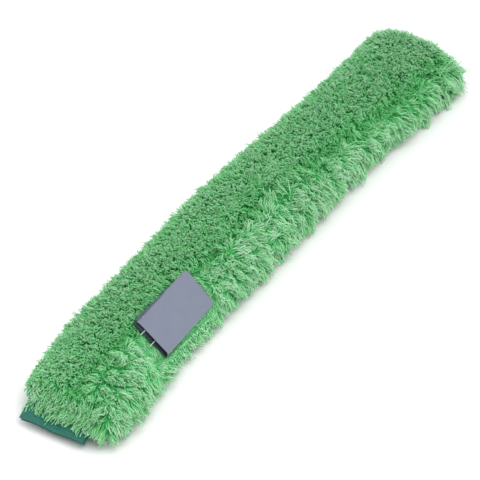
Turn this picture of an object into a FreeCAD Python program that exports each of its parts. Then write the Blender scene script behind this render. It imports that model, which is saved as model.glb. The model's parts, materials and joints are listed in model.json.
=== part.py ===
import FreeCAD, Part
import math
import os
from types import SimpleNamespace

import Sketcher

# Washer sleeve for a T-shaped bar, in millimetres.
# X runs along the sleeve with the mouth at -X, Y runs across it with the label at -Y, Z is up.
# The origin is under the middle of the sleeve, on the surface that it lies on.

SIZES = (
    ("body_length", 450, "pile along the sleeve, from the mouth edge to the far end"),
    ("tube_width", 50, "outside width of the knitted tube"),
    ("tube_height", 18, "outside height of the knitted tube"),
    ("tube_side_flat", 2, "straight part of the tube's rounded sides"),
    ("tube_shift", 3, "how far the tube's axis stands behind the sleeve's middle"),
    ("knit_wall", 1.2, "thickness of the knitted cloth"),
    ("cloth_gap", 0.15, "room between two layers of cloth"),
    ("pile_under", 7, "pile pressed flat under the tube"),
    ("pile_over", 17, "pile above the tube at the crown"),
    ("pile_side", 18, "pile beside the tube, measured to the side shoulders where they are fullest"),
    ("foot_inset", 8, "how far the flat foot stands in from the side shoulders"),
    ("shoulder_drop", 3, "how far the side shoulders lie below the tube's axis"),
    ("side_bulge", 2, "bow of the sides"),
    ("roll_bulge", 8, "bow of the back, and of the front flank where no label lies on it"),
    ("flank_bulge", 2, "bow of the front flank under the label"),
    ("mouth_front_draw", 3, "how far the front draws in at the mouth"),
    ("mouth_back_draw", 7.5, "how far the back draws in at the mouth"),
    ("mouth_drop", 7, "how far the crown drops at the mouth"),
    ("swell_share", 0.45, "place of the fullest front, as a share of the way from the mouth to the label"),
    ("swell_back_draw", 4.5, "how far the back draws in at that place"),
    ("swell_drop", 2, "how far the crown drops at that place"),
    ("waist_draw", 12, "how far the front draws in from the label to the middle"),
    ("press_margin", 6, "how far the pile is pressed down beyond either end of the label"),
    ("press_back_draw", 2, "how far the back draws in where the pressed pile begins"),
    ("far_front_draw", 4.5, "how far the front draws in where the far end begins"),
    ("far_back_draw", 5, "how far the back draws in where the far end begins"),
    ("far_drop", 3, "how far the crown drops where the far end begins"),
    ("far_pile", 12, "depth of the pile over the far end"),
    ("far_round", 6, "how far the far end's rim rounds in"),
    ("seam_room", 0.5, "flat of the tube left in front of the bound slit"),
    ("groove_foot", 5, "width of the parting at the seam"),
    ("groove_mouth", 11, "width of the parting at crown height"),
    ("slit_length", 70, "handle slit along the seam"),
    ("slit_gap", 7, "width of the handle slit in the knit"),
    ("binding_width", 4, "how far the slit's binding reaches over the knit"),
    ("binding_wall", 0.8, "thickness of the binding"),
    ("tack_width", 2, "bar tack along the seam"),
    ("tack_length", 11, "bar tack across the seam"),
    ("window_room", 1.5, "room round the bound slit in the pile"),
    ("stitch_length", 3.2, "length of one stitch"),
    ("stitch_pitch", 5.2, "from one stitch to the next"),
    ("stitch_width", 0.7, "width of a stitch"),
    ("stitch_height", 0.4, "height of a stitch above the cloth"),
    ("seam_end_room", 4, "from the end of the knit to the first stitch"),
    ("lip_reach", 18, "how far the lips stand out from the mouth edge"),
    ("lip_width", 46, "width of the lips"),
    ("lip_wall", 1, "thickness of the woven cloth"),
    ("lip_droop", 28, "angle at which the closed lips slope down, in degrees"),
    ("lip_foot", 4, "height of the lower lip's outer edge"),
    ("band_depth", 14, "how far the woven band reaches into the mouth"),
    ("band_proud", 1, "how far the band stands out of the tube"),
    ("strip_width", 8, "width of the hook strip and the loop strip"),
    ("strip_length", 40, "length of the strips across the lips"),
    ("strip_wall", 1, "thickness of each strip"),
    ("strip_margin", 1.2, "lip left bare on either side of a strip"),
    ("hook_gap", 0.3, "room between the hooks and the loops"),
    ("hinge_gap", 0.3, "room at the root of a piece that swings"),
    ("label_length", 56, "label along the seam"),
    ("label_drop", 25, "label from its sewn edge to its fold"),
    ("label_wall", 0.5, "thickness of one leaf of the label"),
    ("label_loft", 4.5, "gap between the leaves at the fold"),
    ("label_from_mouth", 65, "from the mouth edge to the label"),
    ("label_clear", 0.4, "room between the label and the pile"),
    ("label_join", 1.5, "width over which the two leaves are one"),
    ("label_setback", 0.6, "how far the label stands behind the seam line"),
    ("thread_thickness", 0.5, "thickness of a loose thread end"),
    ("thread_length", 9, "length of a loose thread end"),
    ("thread_free", 5, "part of it that stands out of the label"),
    ("thread_inset", 8, "from the label's sewn edge to the first thread end"),
    ("thread_spacing", 5, "from one thread end to the other"),
)


class Formula:
    """A number of the sheet, or one worked out from such numbers, with the text that binds to it."""

    def __init__(self, text, value):
        self.text = text
        self.value = value

    def __add__(self, other):
        other = formula(other)
        return Formula(f"({self.text} + {other.text})", self.value + other.value)

    def __sub__(self, other):
        other = formula(other)
        return Formula(f"({self.text} - {other.text})", self.value - other.value)

    def __mul__(self, other):
        other = formula(other)
        return Formula(f"({self.text} * {other.text})", self.value * other.value)

    def __truediv__(self, other):
        other = formula(other)
        return Formula(f"({self.text} / {other.text})", self.value / other.value)

    def __neg__(self):
        return Formula(f"(-1 * {self.text})", -self.value)


def formula(item):
    """Give a plain number the same form as a number of the sheet."""
    if isinstance(item, Formula):
        return item
    return Formula(str(item), item)


def root(item):
    return Formula(f"sqrt({item.text})", math.sqrt(item.value))


def whole(item):
    return Formula(f"floor({item.text})", math.floor(item.value))


def sine(angle):
    return Formula(f"sin({angle.text})", math.sin(math.radians(angle.value)))


def cosine(angle):
    return Formula(f"cos({angle.text})", math.cos(math.radians(angle.value)))


def angle_of(rise, run):
    return Formula(f"atan2({rise.text}; {run.text})", math.degrees(math.atan2(rise.value, run.value)))


os.makedirs("parts", exist_ok=True)
doc = FreeCAD.newDocument("washer_sleeve")
sheet = doc.addObject("Spreadsheet::Sheet", "Sizes")
for row, (name, number, note) in enumerate(SIZES, start=1):
    sheet.set(f"A{row}", note)
    sheet.set(f"B{row}", str(number))
    sheet.setAlias(f"B{row}", name)
doc.recompute()
S = SimpleNamespace()
for name, number, note in SIZES:
    setattr(S, name, Formula(f"Sizes.{name}", float(getattr(sheet, name))))

ZERO = formula(0)
X_AXIS = FreeCAD.Vector(1, 0, 0)
Y_AXIS = FreeCAD.Vector(0, 1, 0)
THROUGH_ALL = "ThroughAll"

# Where things lie, worked out once from the sizes.
x_mouth = (S.lip_reach - S.body_length) / 2
x_far = (S.lip_reach + S.body_length) / 2
x_outer = -x_far
x_far_pile = x_far - S.far_pile
x_knit_end = x_far_pile - S.knit_wall
z_axis = S.pile_under + S.tube_height / 2
z_tube_top = S.pile_under + S.tube_height
z_crown = z_tube_top + S.pile_over
z_shoulder = z_axis - S.shoulder_drop
y_shoulder = S.tube_width / 2 + S.pile_side
y_waist = y_shoulder - S.waist_draw
y_flat_front = S.tube_shift - S.tube_width / 2 + (S.tube_height - S.tube_side_flat) / 2
y_seam = y_flat_front + S.seam_room + S.binding_width + S.slit_gap / 2
x_label = x_mouth + S.label_from_mouth
x_press_near = x_label - S.press_margin
x_press_far = x_label + S.label_length + S.press_margin

nodes = []


def node(obj, name):
    """Name an object that is one node of the part."""
    obj.Label = name
    nodes.append(obj)
    return obj


def bind(obj, **sizes):
    """Bind properties to formulas; a double underscore in a name stands for a dot."""
    for name, size in sizes.items():
        obj.setExpression(name.replace("__", "."), size.text)


def new_body(name):
    return node(doc.addObject("PartDesign::Body", name), name)


def origin_feature(body, role):
    return next(item for item in body.Origin.OriginFeatures if item.Role == role)


def new_sketch(body, name, role, offset):
    """Lay a sketch on one of the body's own planes, moved along that plane's normal."""
    sketch = body.newObject("Sketcher::SketchObject", name)
    sketch.AttachmentSupport = [(origin_feature(body, role), "")]
    sketch.MapMode = "FlatFace"
    bind(sketch, AttachmentOffset__Base__z=offset)
    return sketch


def bow_radius(start, end, bulge):
    """Radius of the arc over a chord with the given bulge."""
    run = end[0] - start[0]
    rise = end[1] - start[1]
    chord_squared = run * run + rise * rise
    return (chord_squared / 4 + bulge * bulge) / (bulge * 2)


def bowed_side(start, end, bulge):
    """Arc that bulges to the right of the way from start to end."""
    run = end[0].value - start[0].value
    rise = end[1].value - start[1].value
    chord = math.hypot(run, rise)
    radius = bow_radius(start, end, bulge).value
    inward = (radius - bulge.value) / chord
    centre_x = (start[0].value + end[0].value) / 2 - rise * inward
    centre_y = (start[1].value + end[1].value) / 2 + run * inward
    first = math.atan2(start[1].value - centre_y, start[0].value - centre_x)
    last = math.atan2(end[1].value - centre_y, end[0].value - centre_x)
    circle = Part.Circle(FreeCAD.Vector(centre_x, centre_y, 0), FreeCAD.Vector(0, 0, 1), radius)
    return Part.ArcOfCircle(circle, first, last if last > first else last + 2 * math.pi)


def hold(sketch, kind, axis, geometry, distance):
    """Hold the first point of a side at a signed distance from the sketch's origin."""
    if abs(distance.value) < Part.Precision.confusion():
        sketch.addConstraint(Sketcher.Constraint("PointOnObject", geometry, 1, axis))
        return
    if distance.value < 0:
        distance = -distance
        index = sketch.addConstraint(Sketcher.Constraint(kind, geometry, 1, -1, 1, distance.value))
    else:
        index = sketch.addConstraint(Sketcher.Constraint(kind, -1, 1, geometry, 1, distance.value))
    sketch.setExpression(f"Constraints[{index}]", distance.text)


def trace(sketch, corners, bulges=None):
    """Draw a closed outline anticlockwise; bulges maps a corner to the bow of the side that leaves it."""
    bulges = bulges or {}
    first = sketch.GeometryCount
    count = len(corners)
    ends = corners[1:] + corners[:1]
    for place, (start, end) in enumerate(zip(corners, ends)):
        if place in bulges:
            sketch.addGeometry(bowed_side(start, end, bulges[place]))
        else:
            begin_point = FreeCAD.Vector(start[0].value, start[1].value, 0)
            end_point = FreeCAD.Vector(end[0].value, end[1].value, 0)
            sketch.addGeometry(Part.LineSegment(begin_point, end_point))
    for place in range(count):
        following = first + (place + 1) % count
        sketch.addConstraint(Sketcher.Constraint("Coincident", first + place, 2, following, 1))
    for place, (across, up) in enumerate(corners):
        hold(sketch, "DistanceX", -2, first + place, across)
        hold(sketch, "DistanceY", -1, first + place, up)
    for place, bulge in bulges.items():
        radius = bow_radius(corners[place], ends[place], bulge)
        index = sketch.addConstraint(Sketcher.Constraint("Radius", first + place, radius.value))
        sketch.setExpression(f"Constraints[{index}]", radius.text)


def trace_box(sketch, low_x, low_y, high_x, high_y):
    trace(sketch, [(low_x, low_y), (high_x, low_y), (high_x, high_y), (low_x, high_y)])


def trace_tube(sketch, inset):
    """Rounded outline of the tube, drawn in by an inset."""
    half_width = S.tube_width / 2 - inset
    half_height = S.tube_height / 2 - inset
    flat = S.tube_side_flat / 2
    radius = half_height - flat
    left = S.tube_shift - half_width
    right = S.tube_shift + half_width
    bottom = z_axis - half_height
    top = z_axis + half_height
    corners = [
        (left + radius, bottom), (right - radius, bottom), (right, z_axis - flat), (right, z_axis + flat),
        (right - radius, top), (left + radius, top), (left, z_axis + flat), (left, z_axis - flat),
    ]
    bow = radius - radius / root(formula(2))
    trace(sketch, corners, {1: bow, 3: bow, 5: bow, 7: bow})


def trace_section(sketch, front_draw, back_draw, drop, lift, flank_bulge):
    """Outline of the pile across the sleeve: flat foot, bowed sides, round back and front flank."""
    front = front_draw - y_shoulder
    back = y_shoulder - back_draw
    corners = [
        (back - S.foot_inset, lift), (back, z_shoulder), (ZERO, z_crown - drop), (front, z_shoulder),
        (front + S.foot_inset, lift),
    ]
    trace(sketch, corners, {0: S.side_bulge, 1: S.roll_bulge, 2: flank_bulge, 3: S.side_bulge})


def add_pad(body, sketch, length, name="Pad"):
    pad = body.newObject("PartDesign::Pad", name)
    pad.Profile = sketch
    bind(pad, Length=length)
    doc.recompute()
    return pad


def add_cut(body, sketch, name):
    """Cut a sketch through everything on the side that its normal points to."""
    cut = body.newObject("PartDesign::Pocket", name)
    cut.Profile = sketch
    cut.Type = THROUGH_ALL
    cut.Reversed = True
    doc.recompute()
    return cut


def add_loft(body, sections, name="Loft"):
    feature = body.newObject("PartDesign::AdditiveLoft", name)
    feature.Profile = sections[0]
    feature.Sections = sections[1:]
    feature.Ruled = True
    doc.recompute()
    return feature


def add_row(body, pad, role, count):
    """Repeat a stitch along one of the body's axes."""
    row = body.newObject("PartDesign::LinearPattern", "Row")
    row.Originals = [pad]
    row.Direction = (origin_feature(body, role), [""])
    bind(row, Length=(count - 1) * S.stitch_pitch, Occurrences=count)
    body.Tip = row
    doc.recompute()


def stitch_count(length):
    """How many stitches go into a row of the given length."""
    return whole((length - S.stitch_length) / S.stitch_pitch) + 1


def row_length(count):
    return (count - 1) * S.stitch_pitch + S.stitch_length


def stitch_run(body, name, low_x, low_y, z, length):
    """One row of stitches along X."""
    sketch = new_sketch(body, name, "XY_Plane", z)
    trace_box(sketch, low_x, low_y, low_x + S.stitch_length, low_y + S.stitch_width)
    pad = add_pad(body, sketch, S.stitch_height)
    add_row(body, pad, "X_Axis", stitch_count(length))


# Knitted tube that makes the pocket, with the handle slit in its top.
knit_tube = new_body("knit_tube")
section = new_sketch(knit_tube, "TubeSection", "YZ_Plane", x_mouth)
trace_tube(section, ZERO)
trace_tube(section, S.knit_wall)
add_pad(knit_tube, section, x_knit_end - x_mouth)
slit = new_sketch(knit_tube, "Slit", "XY_Plane", z_axis)
trace_box(slit, -S.slit_length / 2, y_seam - S.slit_gap / 2, S.slit_length / 2, y_seam + S.slit_gap / 2)
add_cut(knit_tube, slit, "SlitCut")

# Knitted piece that closes the tube's far end.
far_end_knit = new_body("far_end_knit")
section = new_sketch(far_end_knit, "EndSection", "YZ_Plane", x_knit_end)
trace_tube(section, ZERO)
add_pad(far_end_knit, section, S.knit_wall)

# Pile fabric wrapped round the tube, parted along the seam and open over the slit. Its ends bow to the
# front, where it is fullest near the mouth, and its front draws in from the label to the middle.
pile_wrap = new_body("pile_wrap")
x_swell = x_mouth + (x_press_near - x_mouth) * S.swell_share
stations = (
    (x_mouth, S.mouth_front_draw, S.mouth_back_draw, S.mouth_drop, S.roll_bulge),
    (x_swell, ZERO, S.swell_back_draw, S.swell_drop, S.roll_bulge),
    (x_press_near, S.waist_draw, S.press_back_draw, ZERO, S.flank_bulge),
    (x_press_far, S.waist_draw, ZERO, ZERO, S.flank_bulge),
    (ZERO, S.waist_draw, ZERO, ZERO, S.roll_bulge),
    (x_far_pile, S.far_front_draw, S.far_back_draw, S.far_drop, S.roll_bulge),
)
sections = []
for place, front_draw, back_draw, drop, flank_bulge in stations:
    section = new_sketch(pile_wrap, "PileSection", "YZ_Plane", place)
    trace_section(section, front_draw, back_draw, drop, ZERO, flank_bulge)
    sections.append(section)
add_loft(pile_wrap, sections)
section = new_sketch(pile_wrap, "TubeRoom", "YZ_Plane", x_mouth)
trace_tube(section, -S.cloth_gap)
add_cut(pile_wrap, section, "TubeCut")
groove = new_sketch(pile_wrap, "Groove", "YZ_Plane", x_mouth)
trace(groove, [
    (y_seam - S.groove_foot / 2, z_axis), (y_seam + S.groove_foot / 2, z_axis),
    (y_seam + S.groove_foot / 2, z_tube_top), (y_seam + S.groove_mouth / 2, z_crown),
    (y_seam - S.groove_mouth / 2, z_crown), (y_seam - S.groove_foot / 2, z_tube_top),
])
add_cut(pile_wrap, groove, "GrooveCut")
window_half_length = S.slit_length / 2 + S.hinge_gap + S.tack_width + S.window_room
window_half_width = S.slit_gap / 2 + S.binding_width + S.window_room
window = new_sketch(pile_wrap, "SlitWindow", "XY_Plane", z_axis)
trace_box(window, -window_half_length, y_seam - window_half_width, window_half_length,
          y_seam + window_half_width)
add_cut(pile_wrap, window, "WindowCut")

# Pile over the far end, rounded in at its rim.
far_end_pile = new_body("far_end_pile")
sections = []
for place, inset in ((ZERO, ZERO), (S.far_pile / 2, S.far_round / 4), (S.far_pile, S.far_round)):
    section = new_sketch(far_end_pile, "EndPileSection", "YZ_Plane", x_far_pile + place)
    trace_section(section, S.far_front_draw + inset, S.far_back_draw + inset, S.far_drop + inset, inset / 2,
                  S.roll_bulge)
    sections.append(section)
add_loft(far_end_pile, sections)

# Thread of the long seam, in two runs with the slit between them.
long_seam_stitches = new_body("long_seam_stitches")
seam_row_y = y_seam - S.groove_foot / 2 + S.stitch_width
tack_end = S.slit_length / 2 + S.hinge_gap + S.tack_width + S.window_room
near_start = x_mouth + S.seam_end_room
stitch_run(long_seam_stitches, "NearStitch", near_start, seam_row_y, z_tube_top, -tack_end - near_start)
far_length = x_knit_end - S.seam_end_room - tack_end
stitch_run(long_seam_stitches, "FarStitch", tack_end, seam_row_y, z_tube_top, far_length)

# Bound edges of the slit: a folded tape on either side, its thread, and a bar tack at each end.
binding_top = z_tube_top + S.cloth_gap + S.binding_wall
binding_edges = []
for name, side in (("slit_binding_front", -1), ("slit_binding_rear", 1)):
    binding = new_body(name)
    edge = y_seam + S.slit_gap / 2 * side
    back = edge + S.binding_width * side
    face = edge - S.cloth_gap * side
    nose = face - S.binding_wall * side
    knit_under = z_tube_top - S.knit_wall - S.cloth_gap
    corners = [
        (back, z_tube_top + S.cloth_gap), (face, z_tube_top + S.cloth_gap), (face, knit_under),
        (back, knit_under), (back, knit_under - S.binding_wall), (nose, knit_under - S.binding_wall),
        (nose, binding_top), (back, binding_top),
    ]
    section = new_sketch(binding, "BindingSection", "YZ_Plane", -S.slit_length / 2)
    trace(section, corners)
    add_pad(binding, section, S.slit_length)
    binding_edges.append((edge + back) / 2)

slit_binding_stitches = new_body("slit_binding_stitches")
binding_row = stitch_count(S.slit_length - S.seam_end_room)
for row_y in binding_edges:
    low_x = -row_length(binding_row) / 2
    stitch_run(slit_binding_stitches, "BindingStitch", low_x, row_y - S.stitch_width / 2, binding_top,
               S.slit_length - S.seam_end_room)

slit_bar_tacks = new_body("slit_bar_tacks")
tacks = new_sketch(slit_bar_tacks, "Tacks", "XY_Plane", z_tube_top)
tack_start = S.slit_length / 2 + S.hinge_gap
for low_x in (-tack_start - S.tack_width, tack_start):
    trace_box(tacks, low_x, y_seam - S.tack_length / 2, low_x + S.tack_width, y_seam + S.tack_length / 2)
add_pad(slit_bar_tacks, tacks, S.stitch_height * 2)

# Woven band inside the mouth, and the thread that holds it above and below.
mouth_band = new_body("mouth_band")
band_inset = S.knit_wall + S.cloth_gap
band_bore = band_inset + S.lip_wall
x_band = x_mouth - S.band_proud
section = new_sketch(mouth_band, "BandSection", "YZ_Plane", x_band)
trace_tube(section, band_inset)
trace_tube(section, band_bore)
add_pad(mouth_band, section, S.band_depth + S.band_proud)

mouth_seam_stitches = new_body("mouth_seam_stitches")
bore_half_height = S.tube_height / 2 - band_bore
band_flat = S.tube_width - S.tube_height + S.tube_side_flat
band_row = stitch_count(band_flat)
row_x = x_mouth + S.band_depth - S.seam_end_room
row_low_y = S.tube_shift - row_length(band_row) / 2
for level in (z_axis - bore_half_height, z_axis + bore_half_height - S.stitch_height):
    sketch = new_sketch(mouth_seam_stitches, "MouthStitch", "XY_Plane", level)
    trace_box(sketch, row_x, row_low_y, row_x + S.stitch_width, row_low_y + S.stitch_length)
    pad = add_pad(mouth_seam_stitches, sketch, S.stitch_height)
    add_row(mouth_seam_stitches, pad, "Y_Axis", band_row)

# The closed lips lie in one slope; points there are given by a distance in from the upper lip's outer
# edge and a height over that lip's middle.
zone = S.strip_width + S.strip_margin * 2
droop_sine = sine(S.lip_droop)
droop_cosine = cosine(S.lip_droop)
lip_spacing = S.lip_wall + S.strip_wall * 2 + S.hook_gap
edge_x = x_outer + S.lip_wall / 2 * droop_sine
edge_z = S.lip_foot + (lip_spacing + S.lip_wall / 2) * droop_cosine
lip_low_y = S.tube_shift - S.lip_width / 2
strip_low_y = S.tube_shift - S.strip_length / 2


def on_slope(inward, above):
    """X and Z of a point of the lips' slope."""
    return (edge_x + inward * droop_cosine - above * droop_sine,
            edge_z + inward * droop_sine + above * droop_cosine)


def tilt(obj, place, low_y, angle):
    """Place an object at a point of the XZ plane, turned about Y so that its X rises by the angle."""
    obj.Placement = FreeCAD.Placement(FreeCAD.Vector(), FreeCAD.Rotation(Y_AXIS, -angle.value))
    bind(obj, Placement__Base__x=place[0], Placement__Base__y=low_y, Placement__Base__z=place[1],
         Placement__Rotation__Angle=-angle)


def slab(name, place, low_y, angle, length, width, thickness):
    """Flat piece that starts at a point of the XZ plane and rises from it by an angle."""
    box = doc.addObject("Part::Box", name)
    bind(box, Length=length, Width=width, Height=thickness)
    tilt(box, place, low_y, angle)
    return box


def bend(name, place):
    """Round filling along Y where two slabs of a lip meet or a lip ends."""
    roll = doc.addObject("Part::Cylinder", name)
    roll.Placement = FreeCAD.Placement(FreeCAD.Vector(), FreeCAD.Rotation(X_AXIS, -90))
    bind(roll, Radius=S.lip_wall / 2, Height=S.lip_width, Placement__Base__x=place[0],
         Placement__Base__y=lip_low_y, Placement__Base__z=place[1])
    return roll


def lip(name, level, inner_end):
    """Lip made of a flat zone on the slope and a ramp up to its inner end."""
    knee = on_slope(zone, level)
    run = inner_end[0] - knee[0]
    rise = inner_end[1] - knee[1]
    angle = angle_of(rise, run)
    half = S.lip_wall / 2
    ramp_start = (knee[0] + half * sine(angle), knee[1] - half * cosine(angle))
    flat = slab(name + "_flat", on_slope(ZERO, level - half), lip_low_y, S.lip_droop, zone,
                S.lip_width, S.lip_wall)
    ramp = slab(name + "_ramp", ramp_start, lip_low_y, angle, root(run * run + rise * rise),
                S.lip_width, S.lip_wall)
    joined = doc.addObject("Part::MultiFuse", name)
    joined.Shapes = [flat, ramp, bend(name + "_knee", knee), bend(name + "_end", inner_end)]
    return node(joined, name)


band_half_height = S.tube_height / 2 - band_inset - S.lip_wall / 2
hinge_x = x_band - S.hinge_gap - S.lip_wall / 2
hinge_z = z_axis + band_half_height
lip("upper_lip", ZERO, (hinge_x, hinge_z))
lip("lower_lip", -lip_spacing, (x_band - S.lip_wall / 2, z_axis - band_half_height))
hook_level = -(S.lip_wall / 2 + S.strip_wall)
loop_level = hook_level - S.hook_gap - S.strip_wall
for name, level in (("hook_strip", hook_level), ("loop_strip", loop_level)):
    strip = slab(name, on_slope(S.strip_margin, level), strip_low_y, S.lip_droop, S.strip_width,
                 S.strip_length, S.strip_wall)
    node(strip, name)

# Two rows of thread that hold each strip, on the outer face of its lip.
strip_row = stitch_count(S.strip_length)
strip_row_y = (S.strip_length - row_length(strip_row)) / 2
lip_under = -lip_spacing - S.lip_wall / 2 - S.stitch_height
for name, level in (("hook_strip_stitches", S.lip_wall / 2), ("loop_strip_stitches", lip_under)):
    stitches = new_body(name)
    for inward in (S.strip_margin * 2, zone - S.strip_margin * 2 - S.stitch_width):
        sketch = new_sketch(stitches, "StripStitch", "XY_Plane", ZERO)
        trace_box(sketch, inward, strip_row_y, inward + S.stitch_width, strip_row_y + S.stitch_length)
        pad = add_pad(stitches, sketch, S.stitch_height)
        add_row(stitches, pad, "Y_Axis", strip_row)
    tilt(stitches, on_slope(ZERO, level), strip_low_y, S.lip_droop)

# Label: a folded loop that swings at the top of a tail held in the seam. It lies along the front flank.
flank_angle = angle_of(z_crown - z_shoulder, y_waist)
label_y = y_seam + S.label_setback
flank_z = z_crown + label_y * (z_crown - z_shoulder) / y_waist
label_z = flank_z + (S.flank_bulge + S.label_clear + S.label_wall) / cosine(flank_angle)

label_tail = node(doc.addObject("Part::Box", "label_tail"), "label_tail")
bind(label_tail, Length=S.label_length, Width=S.label_wall * 2,
     Height=label_z - S.label_wall * 2 - S.hinge_gap - z_tube_top, Placement__Base__x=x_label,
     Placement__Base__y=label_y - S.label_wall, Placement__Base__z=z_tube_top)

care_label = new_body("care_label")
section = new_sketch(care_label, "LoopSection", "YZ_Plane", ZERO)
fold_bow = S.label_loft * 0.4
outer_loop = [
    (ZERO, -S.label_wall), (ZERO, S.label_wall), (-S.label_drop, S.label_loft + S.label_wall),
    (-S.label_drop, -S.label_wall),
]
inner_loop = [(-S.label_join, ZERO), (-S.label_drop, S.label_loft), (-S.label_drop, ZERO)]
trace(section, outer_loop, {0: S.label_wall / 2, 2: fold_bow + S.label_wall})
trace(section, inner_loop, {1: fold_bow})
add_pad(care_label, section, S.label_length)
care_label.Placement = FreeCAD.Placement(FreeCAD.Vector(), FreeCAD.Rotation(X_AXIS, flank_angle.value))
bind(care_label, Placement__Base__x=x_label, Placement__Base__y=label_y, Placement__Base__z=label_z,
     Placement__Rotation__Angle=flank_angle)

# Two loose thread ends that lie on the lower leaf and stand out at the label's mouth end.
ends = []
thread_radius = S.thread_thickness / 2
for place in (S.thread_inset, S.thread_inset + S.thread_spacing):
    thread = doc.addObject("Part::Cylinder", "ThreadEnd")
    thread.Placement = FreeCAD.Placement(FreeCAD.Vector(), FreeCAD.Rotation(Y_AXIS, 90))
    thread_y = label_y - place * cosine(flank_angle) - thread_radius * sine(flank_angle)
    thread_z = label_z - place * sine(flank_angle) + thread_radius * cosine(flank_angle)
    bind(thread, Radius=thread_radius, Height=S.thread_length, Placement__Base__x=x_label - S.thread_free,
         Placement__Base__y=thread_y, Placement__Base__z=thread_z)
    ends.append(thread)
label_thread_ends = node(doc.addObject("Part::Compound", "label_thread_ends"), "label_thread_ends")
label_thread_ends.Links = ends

doc.recompute()
for obj in doc.Objects:
    if "Invalid" in obj.State or "Error" in obj.State:
        raise RuntimeError(f"{obj.Label} did not recompute: {obj.State}")
for obj in nodes:
    if obj.Shape.isNull() or not obj.Shape.isValid():
        raise RuntimeError(f"{obj.Label} has no valid shape")
    obj.Shape.exportStep(f"parts/{obj.Label}.step")
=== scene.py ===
"""Looks of a washer sleeve with a shaggy pile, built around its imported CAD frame."""
import json
import logging
import math
from dataclasses import dataclass
from enum import Enum
from typing import Any, Callable

import bpy
import numpy as np
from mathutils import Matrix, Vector


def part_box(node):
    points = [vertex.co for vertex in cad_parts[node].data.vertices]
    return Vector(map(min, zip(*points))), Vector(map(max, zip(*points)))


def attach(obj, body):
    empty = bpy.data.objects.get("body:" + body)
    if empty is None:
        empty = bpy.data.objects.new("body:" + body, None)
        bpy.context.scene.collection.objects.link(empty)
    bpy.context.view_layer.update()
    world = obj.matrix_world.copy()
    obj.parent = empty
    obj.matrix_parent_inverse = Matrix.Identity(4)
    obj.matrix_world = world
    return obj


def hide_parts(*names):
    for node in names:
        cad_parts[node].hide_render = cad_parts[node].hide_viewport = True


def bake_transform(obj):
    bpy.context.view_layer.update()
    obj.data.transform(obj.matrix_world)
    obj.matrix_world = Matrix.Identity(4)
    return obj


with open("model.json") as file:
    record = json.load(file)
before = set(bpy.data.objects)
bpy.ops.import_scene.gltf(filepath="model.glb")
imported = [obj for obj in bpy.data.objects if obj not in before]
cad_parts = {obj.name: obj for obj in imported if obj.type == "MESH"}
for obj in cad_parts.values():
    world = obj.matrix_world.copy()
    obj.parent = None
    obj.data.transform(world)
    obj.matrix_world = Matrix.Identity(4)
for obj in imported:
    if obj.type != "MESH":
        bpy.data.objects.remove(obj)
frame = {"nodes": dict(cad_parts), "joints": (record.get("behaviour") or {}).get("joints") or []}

log = logging.getLogger("washer_sleeve")

IMAGE_SIDE = 480
HALF = 0.5
STRAND_MAP = "OFBake"
CLOTH_MAP = "ClothMap"
GROUND_VALUES = ("comb", "reach", "droop", "shade", "growth", "grain", "tuft", "frizz")
STRAND_VALUES = ("strand_shade", "strand_along", "strand_bend", "strand_wave", "strand_gather")

Colour = tuple[float, float, float]
Direction = tuple[float, float, float]
Profile = tuple[float, ...]
Pair = tuple[float, float]
Faces = list[tuple[int, ...]]
Feeds = dict[str | int, Any]
Socket = bpy.types.NodeSocket
Piece = bpy.types.Object


class Body(Enum):
    """Moving bodies of the CAD frame."""

    SLEEVE = "sleeve"
    MOUTH_LIP = "mouth_lip"
    LABEL = "label"


class Slot(Enum):
    """Material slots of the record."""

    PILE = "pile"
    KNIT = "knit"
    WOVEN = "woven"
    STRIPS = "strips"
    THREAD = "thread"
    LABEL = "label"
    WHITE_THREAD = "white_thread"


class ClothGrain(Enum):
    """Where a cloth's pattern takes its place from."""

    SURFACE = "surface"
    SOLID = "solid"


class Draw(Enum):
    """Random draws of a strand, each with its own step of the seed."""

    LEAN = 1
    LENGTH = 2
    SHADE = 3
    BEND = 4
    WAVE = 5


def linear(red: int, green: int, blue: int) -> Colour:
    """Turn a screen colour into the linear one that a shader takes.

    Args:
        red: Red from 0 to 255.
        green: Green from 0 to 255.
        blue: Blue from 0 to 255.

    Returns:
        The linear colour.
    """
    knee, slope, offset, power = 0.04045, 12.92, 0.055, 2.4
    parts = [channel / 255 for channel in (red, green, blue)]
    return tuple(c / slope if c <= knee else ((c + offset) / (1 + offset)) ** power for c in parts)


def ease(low: float, high: float, value: np.ndarray) -> np.ndarray:
    """Rise smoothly from 0 to 1 between two values.

    Args:
        low: Where the rise starts.
        high: Where it ends.
        value: Values to look up.

    Returns:
        The eased share for each value.
    """
    share = np.clip((value - low) / (high - low), 0, 1)
    return share * share * (3 - 2 * share)


def between(ends: Pair, share: np.ndarray) -> np.ndarray:
    """Give the value at a share of the way from one end's value to the other's."""
    return ends[0] + (ends[1] - ends[0]) * np.clip(share, 0, 1)


def joint_place(name: str) -> Vector:
    """Give the point that a joint of the frame turns about."""
    return Vector(next(j["pos_m"] for j in frame["joints"] if j["name"] == name))


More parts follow.
